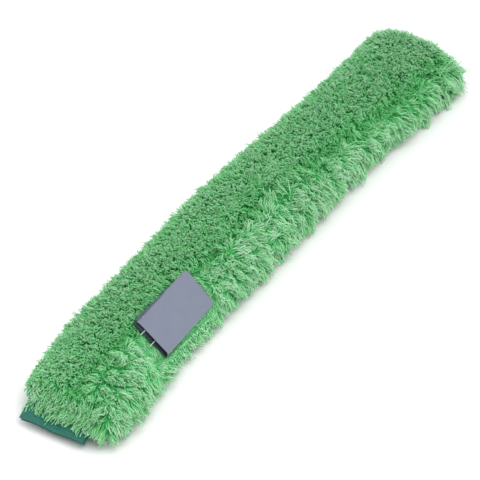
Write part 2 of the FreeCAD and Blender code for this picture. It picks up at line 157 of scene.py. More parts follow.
class NodeBench:
    """Short calls for building a node tree.

    The mix numbers are those of a Mix node's colour inputs and output.
    """

    mix_first = 6
    mix_second = 7
    mix_result = 2

    def __init__(self, tree: bpy.types.NodeTree) -> None:
        """Work on one tree."""
        self.tree = tree

    def declare(self, way: str, kind: str, name: str, value: float | None = None) -> None:
        """Declare an input or an output of the tree.

        Args:
            way: INPUT or OUTPUT.
            kind: Kind of value, as at the end of Blender's socket types.
            name: Its name.
            value: What an input starts from.
        """
        socket = self.tree.interface.new_socket(name, in_out=way, socket_type=f"NodeSocket{kind}")
        if value is not None:
            socket.default_value = value

    def wire(self, node: bpy.types.Node, feeds: Feeds) -> bpy.types.Node:
        """Link outputs to a node's inputs, or set the inputs to plain values.

        Args:
            node: The node.
            feeds: Outputs or plain values, by the input's name or number.

        Returns:
            The same node.
        """
        for name, source in feeds.items():
            if isinstance(source, Socket):
                self.tree.links.new(source, node.inputs[name])
            else:
                node.inputs[name].default_value = source
        return node

    def add(self, kind: str, feeds: Feeds | None = None, **settings: Any) -> bpy.types.Node:
        """Add a node, set its options and feed its inputs.

        Args:
            kind: Blender's name of the node type.
            feeds: Outputs or plain values, by the input's name or number.
            **settings: Options to set on it.

        Returns:
            The new node.
        """
        node = self.tree.nodes.new(kind)
        for name, value in settings.items():
            setattr(node, name, value)
        return self.wire(node, feeds or {})

    def math(self, operation: str, *sources: Any) -> Socket:
        """Work on numbers, which are outputs or plain values."""
        return self.add("ShaderNodeMath", dict(enumerate(sources)), operation=operation).outputs[0]

    def vector(self, operation: str, *sources: Any) -> Socket:
        """Work on vectors; a scale's number is given as the second source.

        Args:
            operation: Blender's name of the operation.
            *sources: Outputs or plain values to work on.

        Returns:
            The result's output.
        """
        feeds = dict(enumerate(sources))
        if operation == "SCALE":
            feeds["Scale"] = feeds.pop(1)
        return self.add("ShaderNodeVectorMath", feeds, operation=operation).outputs["Vector"]

    def dot(self, first: Socket, second: Socket) -> Socket:
        """Give the dot product of two vectors."""
        node = self.add("ShaderNodeVectorMath", {0: first, 1: second}, operation="DOT_PRODUCT")
        return node.outputs["Value"]

    def parts(self, vector: Socket) -> list[Socket]:
        """Take a vector or a colour apart into its three numbers."""
        return list(self.add("ShaderNodeSeparateXYZ", {0: vector}).outputs)

    def joined(self, *numbers: Any) -> Socket:
        """Join three numbers into a vector."""
        return self.add("ShaderNodeCombineXYZ", dict(enumerate(numbers))).outputs[0]

    def mix_colour(self, share: Socket, first: Any, second: Any) -> Socket:
        """Mix two colours.

        Args:
            share: Share of the second colour.
            first: First colour or output.
            second: Second colour or output.

        Returns:
            The mixed colour's output.
        """
        first, second = [c if isinstance(c, Socket) else (*c, 1) for c in (first, second)]
        feeds = {"Factor": share, self.mix_first: first, self.mix_second: second}
        return self.add("ShaderNodeMix", feeds, data_type="RGBA").outputs[self.mix_result]

    def named(self, name: str, kind: str = "FLOAT") -> Socket:
        """Read a named attribute."""
        node = self.add("GeometryNodeInputNamedAttribute", {"Name": name}, data_type=kind)
        return node.outputs["Attribute"]

    def keep(self, geometry: Socket, name: str, value: Socket, kind: str = "FLOAT",
             domain: str = "INSTANCE") -> Socket:
        """Store a value of a geometry under a name.

        Args:
            geometry: The geometry.
            name: Name of the attribute.
            value: Its value.
            kind: Blender's name of the kind of value.
            domain: Blender's name of what carries it.

        Returns:
            The geometry with the attribute.
        """
        feeds = {"Geometry": geometry, "Name": name, "Value": value}
        node = self.add("GeometryNodeStoreNamedAttribute", feeds, data_type=kind, domain=domain)
        return node.outputs["Geometry"]


def weave_group(depth: float = 0.35) -> bpy.types.NodeTree:
    """Build the shared weave once: crossing threads with small unevenness.

    Args:
        depth: How far the crossings rise and fall about the middle height.

    Returns:
        The shader node group, with a height and a shade as its outputs.
    """
    name = "cloth weave"
    if name in bpy.data.node_groups:
        return bpy.data.node_groups[name]
    bench = NodeBench(bpy.data.node_groups.new(name, "ShaderNodeTree"))
    bench.declare("INPUT", "Vector", "Place")
    for way, number in (("INPUT", "Threads"), ("INPUT", "Blotch"), ("OUTPUT", "Height"), ("OUTPUT", "Shade")):
        bench.declare(way, "Float", number)
    given = bench.add("NodeGroupInput").outputs
    spread = bench.parts(bench.vector("SCALE", given["Place"], given["Threads"]))
    along, across, up = [bench.math("SINE", bench.math("MULTIPLY", part, math.pi)) for part in spread]
    crossing = bench.math("ADD", bench.math("MULTIPLY", along, across), bench.math("MULTIPLY", across, up))
    height = bench.math("MULTIPLY_ADD", crossing, depth, HALF)
    noise = bench.add("ShaderNodeTexNoise", {"Vector": given["Place"], "Scale": given["Blotch"]}).outputs[0]
    halves = [bench.math("MULTIPLY", whole, HALF) for whole in (height, noise)]
    bench.add("NodeGroupOutput", {"Height": height, "Shade": bench.math("ADD", *halves)})
    return bench.tree


@dataclass(frozen=True)
class ClothFinish:
    """Woven, knitted or satin cloth."""

    name: str
    light: Colour
    dark: Colour
    threads: float
    blotch: float
    relief: float
    roughness: float
    sheen: float
    grain: ClothGrain = ClothGrain.SOLID
    gloss: float = 0.25

    def material(self) -> bpy.types.Material:
        """Build the cloth's material, or give the one that is there.

        Returns:
            The material.
        """
        made = bpy.data.materials.get(self.name)
        if made:
            return made
        made = bpy.data.materials.new(self.name)
        made.use_nodes = True
        bench = NodeBench(made.node_tree)
        if self.grain is ClothGrain.SURFACE:
            place = bench.add("ShaderNodeUVMap", uv_map=CLOTH_MAP).outputs["UV"]
        else:
            place = bench.add("ShaderNodeTexCoord").outputs["Object"]
        pattern = {"Place": place, "Threads": self.threads, "Blotch": self.blotch}
        weave = bench.add("ShaderNodeGroup", pattern, node_tree=weave_group()).outputs
        relief = {"Strength": self.relief, "Distance": 1 / self.threads, "Height": weave["Height"]}
        bench.wire(made.node_tree.nodes["Principled BSDF"], {
            "Base Color": bench.mix_colour(weave["Shade"], self.dark, self.light),
            "Normal": bench.add("ShaderNodeBump", relief).outputs["Normal"],
            "Roughness": self.roughness, "Sheen Weight": self.sheen, "Specular IOR Level": self.gloss})
        return made


@dataclass(frozen=True)
class StrandFinish:
    """Soft fibre strands, dark at the root and light at the tip."""

    name: str
    tip_light: Colour
    tip_dark: Colour
    # Painted shade: the root colour darkens each strand towards the ground, where shade falls between the
    # strands.
    root: Colour
    root_shade_reach: float = 0.80
    roughness: float = 0.9
    gloss: float = 0.05
    glow: float = 0.6
    glow_depth: float = 0.0015

    def material(self) -> bpy.types.Material:
        """Build the strands' material, which reads each strand's own shade and length.

        Returns:
            The material.
        """
        made = bpy.data.materials.new(self.name)
        made.use_nodes = True
        bench = NodeBench(made.node_tree)
        shade, along, _ = bench.parts(bench.add("ShaderNodeUVMap", uv_map=STRAND_MAP).outputs["UV"])
        tip = bench.mix_colour(shade, self.tip_dark, self.tip_light)
        rise = bench.add("ShaderNodeMapRange", {"Value": along, "From Max": self.root_shade_reach},
                         interpolation_type="SMOOTHSTEP").outputs[0]
        bench.wire(made.node_tree.nodes["Principled BSDF"], {
            "Base Color": bench.mix_colour(rise, self.root, tip),
            "Roughness": self.roughness, "Specular IOR Level": self.gloss, "Subsurface Weight": self.glow,
            "Subsurface Radius": (1, 1, 1), "Subsurface Scale": self.glow_depth})
        return made


# Painted shade: the third colour darkens the roots of the pile.
PILE_FINISH = StrandFinish("pile strands", linear(163, 216, 169), linear(96, 203, 114), linear(57, 179, 92))
GROUND_FINISH = ClothFinish("pile ground", linear(54, 150, 80), linear(32, 116, 56),
                            threads=900, blotch=220, relief=0.6, roughness=0.9, sheen=0.1)
KNIT_FINISH = ClothFinish("knitted tube", linear(70, 130, 90), linear(30, 80, 52),
                          threads=700, blotch=160, relief=0.7, roughness=0.9, sheen=0.15)
WOVEN_FINISH = ClothFinish("woven lips", linear(46, 120, 104), linear(22, 84, 72),
                           threads=1250, blotch=240, relief=0.55, roughness=0.75, sheen=0.2,
                           grain=ClothGrain.SURFACE)
TAPE_FINISH = ClothFinish("woven tape", linear(44, 124, 106), linear(20, 84, 72),
                          threads=1250, blotch=240, relief=0.55, roughness=0.75, sheen=0.2)
STRIP_FINISH = ClothFinish("hook and loop tape", linear(34, 98, 86), linear(12, 54, 48),
                           threads=800, blotch=300, relief=1.0, roughness=0.85, sheen=0.1)
THREAD_FINISH = ClothFinish("sewing thread", linear(48, 132, 112), linear(28, 100, 86),
                            threads=1800, blotch=300, relief=0.5, roughness=0.7, sheen=0.1)
LABEL_FINISH = ClothFinish("satin label", linear(121, 127, 144), linear(103, 109, 126),
                           threads=1500, blotch=90, relief=0.25, roughness=0.5, sheen=0.15,
                           grain=ClothGrain.SURFACE)
# Painted shade: a dark copy of the satin for the inner side of the label's loop, where shade falls.
LABEL_INSIDE_SHADE_FINISH = ClothFinish("satin label inside painted shade", linear(52, 60, 74), linear(36, 44, 58),
                                threads=1500, blotch=90, relief=0.25, roughness=0.8, sheen=0.05,
                                grain=ClothGrain.SURFACE)
# Painted shade: the tail in the seam is a dark copy of the satin, where the seam shades it.
LABEL_TAIL_SHADE_FINISH = ClothFinish("label tail painted shade", linear(74, 84, 100), linear(58, 68, 84),
                                threads=1500, blotch=90, relief=0.25, roughness=0.5, sheen=0.15)
WHITE_FINISH = ClothFinish("white thread", linear(236, 236, 232), linear(206, 206, 204),
                           threads=1800, blotch=300, relief=0.4, roughness=0.6, sheen=0.1)


def dress_nodes(finish: ClothFinish, slot: Slot, *nodes: str) -> None:
    """Put a finish on CAD nodes.

    Args:
        finish: The finish.
        slot: Material slot of the record; not used.
        *nodes: Names of the nodes.
    """
    for name in nodes:
        node = frame["nodes"][name]
        node.data.materials.clear()
        node.data.materials.append(finish.material())


def mesh_piece(name: str, points: np.ndarray, faces: Faces, material: bpy.types.Material) -> Piece:
    """Make a smooth mesh object from points and faces.

    Args:
        name: Name of the piece.
        points: Points in the row frame, in metres.
        faces: Faces as point numbers.
        material: Its material.

    Returns:
        The new object.
    """
    mesh = bpy.data.meshes.new(name)
    mesh.from_pydata([tuple(p) for p in points], [], faces)
    mesh.polygons.foreach_set("use_smooth", [True] * len(mesh.polygons))
    mesh.materials.append(material)
    piece = bpy.data.objects.new(name, mesh)
    bpy.context.scene.collection.objects.link(piece)
    return piece


def plain_mesh(piece: Piece) -> bpy.types.Mesh:
    """Give a piece with its modifiers as a plain mesh."""
    return bpy.data.meshes.new_from_object(piece.evaluated_get(bpy.context.evaluated_depsgraph_get()))


def grid_faces(rows: int, columns: int) -> Faces:
    """Give the faces between a grid's points, which are numbered row by row."""
    return [(r * columns + c, r * columns + c + 1, (r + 1) * columns + c + 1, (r + 1) * columns + c)
            for r in range(rows - 1) for c in range(columns - 1)]


def tube_faces(rings: int, sides: int) -> Faces:
    """Give the faces round a tube, whose points are numbered ring by ring.

    Args:
        rings: Number of rings.
        sides: Number of points in a ring.

    Returns:
        The faces.
    """
    faces = []
    for start in range(0, (rings - 1) * sides, sides):
        for side in range(sides):
            following = (side + 1) % sides
            faces.append((start + side, start + following, start + sides + following, start + sides + side))
    return faces


def rounded_path(corners: list[Pair], rounding: int, steps: int) -> np.ndarray:
    """Soften the corners of a path and space its points evenly.

    Args:
        corners: Corner points.
        rounding: How often neighbouring points are averaged.
        steps: Number of points.

    Returns:
        The path's points.
    """
    rough = np.array(corners, float)
    length = np.concatenate([[0], np.cumsum(np.linalg.norm(np.diff(rough, axis=0), axis=1))])
    even = np.linspace(0, length[-1], steps)
    path = np.column_stack([np.interp(even, length, rough[:, i]) for i in range(2)])
    for _ in range(rounding):
        path[1:-1] = (path[:-2] + 2 * path[1:-1] + path[2:]) / 4
    return path


def path_grid(path: np.ndarray, across: np.ndarray) -> np.ndarray:
    """Sweep a path in X and Z over places in Y.

    Args:
        path: The path.
        across: Places in Y.

    Returns:
        The points, in rows along the path and columns across it.
    """
    grid = np.empty((len(path), len(across), 3))
    grid[:, :, 0] = path[:, :1]
    grid[:, :, 1] = across
    grid[:, :, 2] = path[:, 1:]
    return grid


def cloth_piece(name: str, grid: np.ndarray, material: bpy.types.Material) -> Piece:
    """Build a sheet from a grid of points, with a map in metres.

    Args:
        name: Name of the piece.
        grid: Points in rows along the sheet's length and columns across its width.
        material: Its material.

    Returns:
        The sheet.
    """
    rows, columns = grid.shape[:2]
    piece = mesh_piece(name, grid.reshape(-1, 3), grid_faces(rows, columns), material)
    along = np.zeros((rows, columns))
    along[1:] = np.cumsum(np.linalg.norm(np.diff(grid, axis=0), axis=2), axis=0)
    across = np.zeros((rows, columns))
    across[:, 1:] = np.cumsum(np.linalg.norm(np.diff(grid, axis=1), axis=2), axis=1)
    spread = np.stack([across.ravel(), along.ravel()], axis=1)
    corners = np.empty(len(piece.data.loops), dtype=np.int32)
    piece.data.loops.foreach_get("vertex_index", corners)
    chart = piece.data.uv_layers.new(name=CLOTH_MAP)
    chart.data.foreach_set("uv", spread[corners].astype(np.float32).ravel())
    return piece


def give_wall(piece: Piece, thickness: float, back: int = 0) -> None:
    """Give a sheet its thickness, half of it on either side.

    Args:
        piece: The sheet.
        thickness: Its thickness.
        back: Number of the material on its back.
    """
    wall = piece.modifiers.new("Wall", "SOLIDIFY")
    wall.thickness = thickness
    wall.offset = 0
    wall.material_offset = back


@dataclass
class MouthLips:
    """Woven lips that close the mouth, their strips, tapes and thread."""

    wall: float = 0.0010
    droop: float = math.radians(28)
    zone: float = 0.0104
    rounding: int = 3
    columns: int = 46
    steps: int = 30
    ripple: float = 0.0005
    ripple_turns: float = 1.6

    def slope_path(self, node: str, inner: Pair) -> np.ndarray:
        """Work out a lip's path from its inner end to its outer edge.

        Args:
            node: CAD node of the lip.
            inner: Its inner end, in X and Z.

        Returns:
            The path in X and Z.
        """
        low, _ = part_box(node)
        edge = (low.x + self.wall / 2 * math.sin(self.droop), low.z + self.wall / 2 * math.cos(self.droop))
        knee = (edge[0] + self.zone * math.cos(self.droop), edge[1] + self.zone * math.sin(self.droop))
        return rounded_path([inner, knee, edge], self.rounding, self.steps)

    def lip(self, name: str, node: str, inner: Pair, body: Body) -> Piece:
        """Build one lip as cloth.

        Args:
            name: Name of the piece.
            node: CAD node that it stands for.
            inner: Inner end of the lip, in X and Z.
            body: Body that it moves with.

        Returns:
            The lip.
        """
        path = self.slope_path(node, inner)
        low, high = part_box(node)
        across = np.linspace(0, 1, self.columns + 1)
        outward = np.linspace(0, 1, self.steps)[:, None]
        grid = path_grid(path, low.y + (high.y - low.y) * across)
        grid[:, :, 2] += self.ripple * outward ** 2 * np.sin(2 * math.pi * self.ripple_turns * across)
        piece = cloth_piece(name, grid, WOVEN_FINISH.material())
        give_wall(piece, self.wall)
        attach(piece, body.value)
        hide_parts(node)
        return piece

    def build(self) -> list[Piece]:
        """Build both lips.

        Returns:
            The pieces.
        """
        hinge = joint_place("mouth_open")
        band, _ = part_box("mouth_band")
        inner = (band.x - self.wall / 2, band.z + self.wall / 2)
        return [self.lip("upper_lip_cloth", "upper_lip", (hinge.x, hinge.z), Body.MOUTH_LIP),
                self.lip("lower_lip_cloth", "lower_lip", inner, Body.SLEEVE)]

    def dress(self) -> None:
        """Give the CAD nodes of the tube, mouth and slit their cloth."""
        dress_nodes(KNIT_FINISH, Slot.KNIT, "knit_tube", "far_end_knit")
        dress_nodes(TAPE_FINISH, Slot.WOVEN, "mouth_band", "slit_binding_front", "slit_binding_rear")
        dress_nodes(STRIP_FINISH, Slot.STRIPS, "hook_strip", "loop_strip")
        dress_nodes(THREAD_FINISH, Slot.THREAD, "long_seam_stitches", "slit_binding_stitches",
                    "slit_bar_tacks", "mouth_seam_stitches", "hook_strip_stitches", "loop_strip_stitches")


@dataclass
class FoldedLabel:
    """Satin label folded into a loop, its tail in the seam and its loose thread ends.

    Pairs hold a value at the end by the mouth and one at the far end.
    """

    leaf: float = 0.0242
    fold_round: float = 0.0014
    ahead: float = 0.0025
    sags: Pair = (0.0036, 0.0004)
    seam_sag: float = 0.8
    upper_slopes: Pair = (math.radians(36.5), math.radians(42))
    lower_slopes: Pair = (math.radians(42), math.radians(46))
    leaf_gaps: Pair = (0.0018, 0.0008)
    belly: float = 0.0002
    skew: float = 0.002
    turn_reach: float = 0.005
    thickness: float = 0.0004
    rounding: int = 2
    columns: int = 40
    steps: int = 22
    fold_steps: int = 7
    thread_radius: float = 0.00024
    thread_places: tuple[float, ...] = (0.30, 0.62)
    thread_lift: float = 0.0014
    thread_sides: int = 6
    thread_steps: int = 10

    def __post_init__(self) -> None:
        """Take the label's places from the frame."""
        self.low, self.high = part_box("care_label")
        self.hinge = joint_place("label_turn")

    def height(self, x: float, y: np.ndarray) -> np.ndarray:
        """Give the height of the lower leaf's plane over points of the ground.

        Args:
            x: Place along the sleeve.
            y: Places across it.

        Returns:
            The heights.
        """
        share = (x - self.low.x) / (self.high.x - self.low.x)
        below = between(self.sags, share) + between(self.leaf_gaps, share)
        slope = math.tan(between(self.lower_slopes, share))
        return self.hinge.z - below + (y - self.hinge.y + self.ahead) * slope

    def leaves(self, share: float) -> tuple[np.ndarray, np.ndarray]:
        """Work out both leaves at one place along the label, from the seam to the fold.

        Args:
            share: The place, from 0 at the end by the mouth to 1.

        Returns:
            The upper and the lower leaf's points in Y and Z.
        """
        sag = between(self.sags, share)
        gap = between(self.leaf_gaps, share)
        paths = []
        for slopes, under in ((self.upper_slopes, 0.0), (self.lower_slopes, gap)):
            slope = between(slopes, share)
            edge = (self.hinge.y, self.hinge.z - self.seam_sag * sag - under)
            bend = (self.hinge.y - self.ahead, self.hinge.z - sag - under)
            fold = (bend[0] - self.leaf * math.cos(slope), bend[1] - self.leaf * math.sin(slope))
            paths.append(rounded_path([edge, bend, fold], self.rounding, self.steps))
        paths[1][:, 1] -= self.belly * (1 - share) * np.sin(np.linspace(0, math.pi, self.steps))
        return paths[0], paths[1]

    def section(self, share: float) -> np.ndarray:
        """Work out the whole loop at one place along the label.

        Args:
            share: The place, from 0 at the end by the mouth to 1.

        Returns:
            The loop's points in Y and Z.
        """
        upper, lower = self.leaves(share)
        middle, half = (upper[-1] + lower[-1]) / 2, (upper[-1] - lower[-1]) / 2
        onward = upper[-1] - upper[-2] + lower[-1] - lower[-2]
        onward *= self.fold_round / np.linalg.norm(onward)
        turns = np.linspace(0, math.pi, self.fold_steps + 2)[1:-1]
        fold = middle + np.outer(np.cos(turns), half) + np.outer(np.sin(turns), onward)
        return np.concatenate([upper, fold, lower[::-1]])

    def build(self) -> list[Piece]:
        """Build the label's loop and its thread ends.

        Returns:
            The pieces.
        """
        sides = np.array([self.section(share) for share in np.linspace(0, 1, self.columns + 1)])
        grid = np.empty((sides.shape[1], self.columns + 1, 3))
        grid[:, :, 0] = np.linspace(self.low.x, self.high.x, self.columns + 1)
        grid[-self.steps:, :, 0] -= self.skew * np.linspace(0, 1, self.steps)[:, None]
        grid[:, :, 1:] = sides.transpose(1, 0, 2)
        # The loop's inner side takes the dark satin of painted shade, its outer side the plain satin.
        piece = cloth_piece("label_loop", grid, LABEL_INSIDE_SHADE_FINISH.material())
        piece.data.materials.append(LABEL_FINISH.material())
        give_wall(piece, self.thickness, back=1)
        settled = plain_mesh(piece)
        piece.modifiers.clear()
        piece.data = settled
        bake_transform(piece)
        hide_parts("care_label")
        return [piece, self.threads()]

    def threads(self) -> Piece:
        """Build the two loose thread ends, which lie in the loop and stand out of its mouth end.

        Returns:
            The thread ends as one piece.
        """
        low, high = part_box("label_thread_ends")
        lower = self.leaves(0.0)[1]
        turn = np.linspace(0, 2 * math.pi, self.thread_sides, endpoint=False)
        around = range(self.thread_sides)
        points: list[np.ndarray] = []
        faces: Faces = []
        for place in self.thread_places:
            first = len(points) * self.thread_sides
            last = first + (self.thread_steps - 1) * self.thread_sides
            y, z = lower[round(place * (self.steps - 1))] + (0, self.thread_lift)
            ring = np.column_stack([0 * turn, y + self.thread_radius * np.cos(turn),
                                    z + self.thread_radius * np.sin(turn)])
            points += [ring + (x, 0, 0) for x in np.linspace(high.x, low.x, self.thread_steps)]
            quads = tube_faces(self.thread_steps, self.thread_sides)
            faces += [tuple(first + point for point in quad) for quad in quads]
            faces += [tuple(first + side for side in around), tuple(last + side for side in reversed(around))]
        piece = mesh_piece("label_threads", np.concatenate(points), faces, WHITE_FINISH.material())
        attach(piece, Body.LABEL.value)
        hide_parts("label_thread_ends")
        return piece

    def dress(self) -> None:
        """Give the label's tail its cloth."""
        # The tail's dark cloth is painted shade.
        dress_nodes(LABEL_TAIL_SHADE_FINISH, Slot.LABEL, "label_tail")


@dataclass
class StrandGrower:
    """Geometry nodes that grow strands on a ground mesh.

    The ground carries at each point which way its strands lean (comb), how long they are (reach), how far
    they hang (droop), how light they are with painted light and shade (shade), how densely they grow
    (growth), how small their tufts are (grain), how strongly the tufts pull (tuft) and how unruly the strands
    are (frizz).
    """

    material: bpy.types.Material
    spacing: float = 0.00070
    density: float = 4000000
    thickness: float = 0.00042
    tip_share: float = 0.66
    tip_power: float = 4.0
    curl: float = 0.0030
    wave_share: float = 0.50
    scatter: float = 0.30
    lock_pull: float = 1.25
    gather: float = 0.85
    tuft_length: float = 0.40
    tuft_shade: float = 0.42
    strand_shade: float = 0.14
    shade_limits: Pair = (0.01, 0.99)
    shortest: float = 0.76
    longest: float = 1.04
    floor: float = 0.0008
    points: int = 5
    sides: int = 3

    def __post_init__(self) -> None:
        """Build the tree, with an input for each of its main sizes."""
        self.tree = bpy.data.node_groups.new("pile strands", "GeometryNodeTree")
        self.bench = NodeBench(self.tree)
        self.bench.declare("INPUT", "Geometry", "Ground")
        for size in ("spacing", "density", "thickness", "tip_share", "curl", "scatter", "lock_pull", "gather",
                     "tuft_length", "tuft_shade", "floor"):
            self.bench.declare("INPUT", "Float", size.replace("_", " ").title(), getattr(self, size))
        self.bench.declare("INPUT", "Int", "Seed")
        self.bench.declare("OUTPUT", "Geometry", "Strands")
        self.given = self.bench.add("NodeGroupInput").outputs
        self.along = self.bench.add("GeometryNodeSplineParameter").outputs["Factor"]
        self.bench.add("NodeGroupOutput", {"Strands": self.thicken(self.shape(self.plant()))})

    def drawn(self, draw: Draw, low: Any = (-1, -1, -1), high: Any = (1, 1, 1)) -> Socket:
        """Draw a random value for each strand.

        Args:
            draw: Which of the strand's draws it is.
            low: Smallest number, or smallest vector.
            high: Largest number, or largest vector.

        Returns:
            The value's output.
        """
        kind = "FLOAT_VECTOR" if isinstance(low, tuple) else "FLOAT"
        seed = self.bench.math("ADD", self.given["Seed"], draw.value)
        node = self.bench.add("FunctionNodeRandomValue", {"Seed": seed}, data_type=kind)
        limits = [s for s in node.inputs if s.enabled and s.name in ("Min", "Max")]
        for socket, limit in zip(limits, (low, high)):
            socket.default_value = limit
        return next(s for s in node.outputs if s.enabled)

    def plant(self) -> Socket:
        """Plant a straight strand on each root, with its own direction, length and shade.

        Returns:
            The strands' curves, which carry what their shape needs.
        """
        bench, given = self.bench, self.given
        roots = bench.add("GeometryNodeDistributePointsOnFaces", {
            "Mesh": given["Ground"], "Distance Min": given["Spacing"], "Density Max": given["Density"],
            "Density Factor": bench.named("growth"), "Seed": given["Seed"]},
            distribute_method="POISSON").outputs
        place = bench.add("GeometryNodeInputPosition").outputs[0]
        tufts = bench.add("ShaderNodeTexVoronoi", {"Vector": place, "Scale": bench.named("grain")},
                          voronoi_dimensions="3D", feature="F1").outputs
        hues = bench.parts(tufts["Color"])
        lightness, growth, _ = [bench.math("SUBTRACT", hue, HALF) for hue in hues]
        line = bench.add("GeometryNodeCurvePrimitiveLine", {"End": (0, 0, 1)}).outputs["Curve"]
        path = bench.add("GeometryNodeResampleCurve", {"Curve": line, "Count": self.points}).outputs["Curve"]
        reach = self.length(growth)
        strands = bench.add("GeometryNodeInstanceOnPoints", {
            "Points": roots["Points"], "Instance": path, "Scale": bench.joined(reach, reach, reach),
            "Rotation": self.heading(tufts["Color"], roots["Normal"])}).outputs["Instances"]
        strands = bench.keep(strands, "strand_shade", self.shade(lightness))
        gather = self.gathering(bench.vector("SUBTRACT", tufts["Position"], place), roots["Normal"])
        for name, value in (("strand_bend", self.drawn(Draw.BEND)), ("strand_wave", self.drawn(Draw.WAVE)),
                            ("strand_gather", gather)):
            strands = bench.keep(strands, name, value, "FLOAT_VECTOR")
        return bench.add("GeometryNodeRealizeInstances", {"Geometry": strands}).outputs["Geometry"]

    def heading(self, tuft: Socket, normal: Socket) -> Socket:
        """Turn a strand the way it is combed, pulled by its tuft and astray.

        Args:
            tuft: Random colour of its tuft.
            normal: The ground's normal.

        Returns:
            The turn.
        """
        bench, given = self.bench, self.given
        pull = bench.vector("SUBTRACT", tuft, (HALF, HALF, HALF))
        pull = bench.vector("SCALE", pull, bench.math("MULTIPLY", given["Lock Pull"], bench.named("tuft")))
        wild = bench.math("MULTIPLY", bench.named("frizz"), given["Scatter"])
        stray = bench.vector("SCALE", self.drawn(Draw.LEAN), wild)
        lean = bench.vector("ADD", bench.named("comb", "FLOAT_VECTOR"), bench.vector("ADD", pull, stray))
        heading = bench.vector("NORMALIZE", bench.vector("ADD", normal, lean))
        turn = bench.add("FunctionNodeAlignRotationToVector", {"Vector": heading}, axis="Z")
        return turn.outputs["Rotation"]

    def length(self, growth: Socket) -> Socket:
        """Give a strand's length from its ground, its own draw and its tuft.

        Args:
            growth: How much longer its tuft is, about 0.

        Returns:
            The length.
        """
        bench = self.bench
        drawn = self.drawn(Draw.LENGTH, self.shortest, self.longest)
        uneven = bench.math("MULTIPLY", bench.named("tuft"), self.given["Tuft Length"])
        tall = bench.math("ADD", 1.0, bench.math("MULTIPLY", growth, uneven))
        return bench.math("MULTIPLY", bench.math("MULTIPLY", bench.named("reach"), drawn), tall)

    def shade(self, lightness: Socket) -> Socket:
        """Give a strand's shade from its ground, its own draw and its tuft.

        Args:
            lightness: How much lighter its tuft is, about 0.

        Returns:
            The shade, within its limits.
        """
        bench = self.bench
        drawn = self.drawn(Draw.SHADE, -self.strand_shade, self.strand_shade)
        own = bench.math("ADD", drawn, bench.math("MULTIPLY", lightness, self.given["Tuft Shade"]))
        shade = bench.math("ADD", bench.named("shade"), own)
        darkest, lightest = self.shade_limits
        return bench.math("MINIMUM", bench.math("MAXIMUM", shade, darkest), lightest)

    def gathering(self, toward: Socket, normal: Socket) -> Socket:
        """Give how far a strand's tip is drawn towards the middle of its tuft, along the ground.

        Args:
            toward: The way from the root to the tuft's middle.
            normal: The ground's normal.

        Returns:
            The way that the tip is drawn.
        """
        bench = self.bench
        outward = bench.vector("SCALE", normal, bench.dot(toward, normal))
        strength = bench.math("MULTIPLY", bench.named("tuft"), self.given["Gather"])
        return bench.vector("SCALE", bench.vector("SUBTRACT", toward, outward), strength)

    def shape(self, strands: Socket) -> Socket:
        """Bend, wave, gather and droop the strands, and keep them above the floor.

        Args:
            strands: Straight strands.

        Returns:
            The shaped strands, which carry the share of the way along them.
        """
        bench = self.bench
        squared = bench.math("POWER", self.along, 2.0)
        curl = bench.math("MULTIPLY", self.given["Curl"], bench.named("frizz"))
        ripple = bench.math("SINE", bench.math("MULTIPLY", self.along, 2 * math.pi))
        waving = bench.math("MULTIPLY", bench.math("MULTIPLY", curl, self.wave_share), ripple)
        bend, wave, gather = [
            bench.vector("SCALE", bench.named(name, "FLOAT_VECTOR"), strength)
            for name, strength in (("strand_bend", bench.math("MULTIPLY", curl, squared)),
                                   ("strand_wave", waving), ("strand_gather", squared))]
        fall = bench.math("MULTIPLY", bench.math("MULTIPLY", bench.named("droop"), squared), -1.0)
        sag = bench.vector("ADD", gather, bench.joined(0, 0, fall))
        offset = bench.vector("ADD", bench.vector("ADD", bend, wave), sag)
        shaped = bench.add("GeometryNodeSetPosition", {"Geometry": strands, "Offset": offset}).outputs[0]
        x, y, z = bench.parts(bench.add("GeometryNodeInputPosition").outputs[0])
        above = bench.joined(x, y, bench.math("MAXIMUM", z, self.given["Floor"]))
        held = bench.add("GeometryNodeSetPosition", {"Geometry": shaped, "Position": above}).outputs[0]
        return bench.keep(held, "strand_along", self.along, domain="POINT")

    def thicken(self, strands: Socket) -> Socket:
        """Turn the strands into tapered tubes with their map and material.

        Args:
            strands: The shaped strands.

        Returns:
            The finished mesh.
        """
        bench = self.bench
        loss = bench.math("SUBTRACT", 1.0, self.given["Tip Share"])
        loss = bench.math("MULTIPLY", bench.math("POWER", self.along, self.tip_power), loss)
        radius = bench.math("MULTIPLY", self.given["Thickness"], bench.math("SUBTRACT", 1.0, loss))
        outline = bench.add("GeometryNodeCurvePrimitiveCircle", {"Resolution": self.sides, "Radius": 1.0})
        tubes = bench.add("GeometryNodeCurveToMesh", {
            "Curve": strands, "Profile Curve": outline.outputs["Curve"], "Scale": radius, "Fill Caps": True})
        chart = bench.joined(bench.named("strand_shade"), bench.named("strand_along"), 0)
        mesh = bench.keep(tubes.outputs["Mesh"], STRAND_MAP, chart, "FLOAT2", "CORNER")
        for kind in ("GeometryNodeSetShadeSmooth", "GeometryNodeRealizeInstances"):
            mesh = bench.add(kind, {"Geometry": mesh}).outputs["Geometry"]
        dressed = bench.add("GeometryNodeSetMaterial", {"Geometry": mesh, "Material": self.material})
        return dressed.outputs["Geometry"]

    def grow(self, name: str, ground: Piece, seed: int) -> Piece:
        """Run the tree on a ground piece and keep the result as a plain mesh.

        Args:
            name: Name of the new piece.
            ground: Ground object with its attributes; it is removed.
            seed: Seed of the piece's random draws.

        Returns:
            The new piece.
        """
        modifier = ground.modifiers.new("Strands", "NODES")
        modifier.node_group = self.tree
        identifier = next(item.identifier for item in self.tree.interface.items_tree if item.name == "Seed")
        modifier[identifier] = seed
        mesh = plain_mesh(ground)
        mesh.name = name
        for spare in GROUND_VALUES + STRAND_VALUES:
            if spare in mesh.attributes:
                mesh.attributes.remove(mesh.attributes[spare])
        bpy.data.objects.remove(ground)
        piece = bpy.data.objects.new(name, mesh)
        bpy.context.scene.collection.objects.link(piece)
        return piece


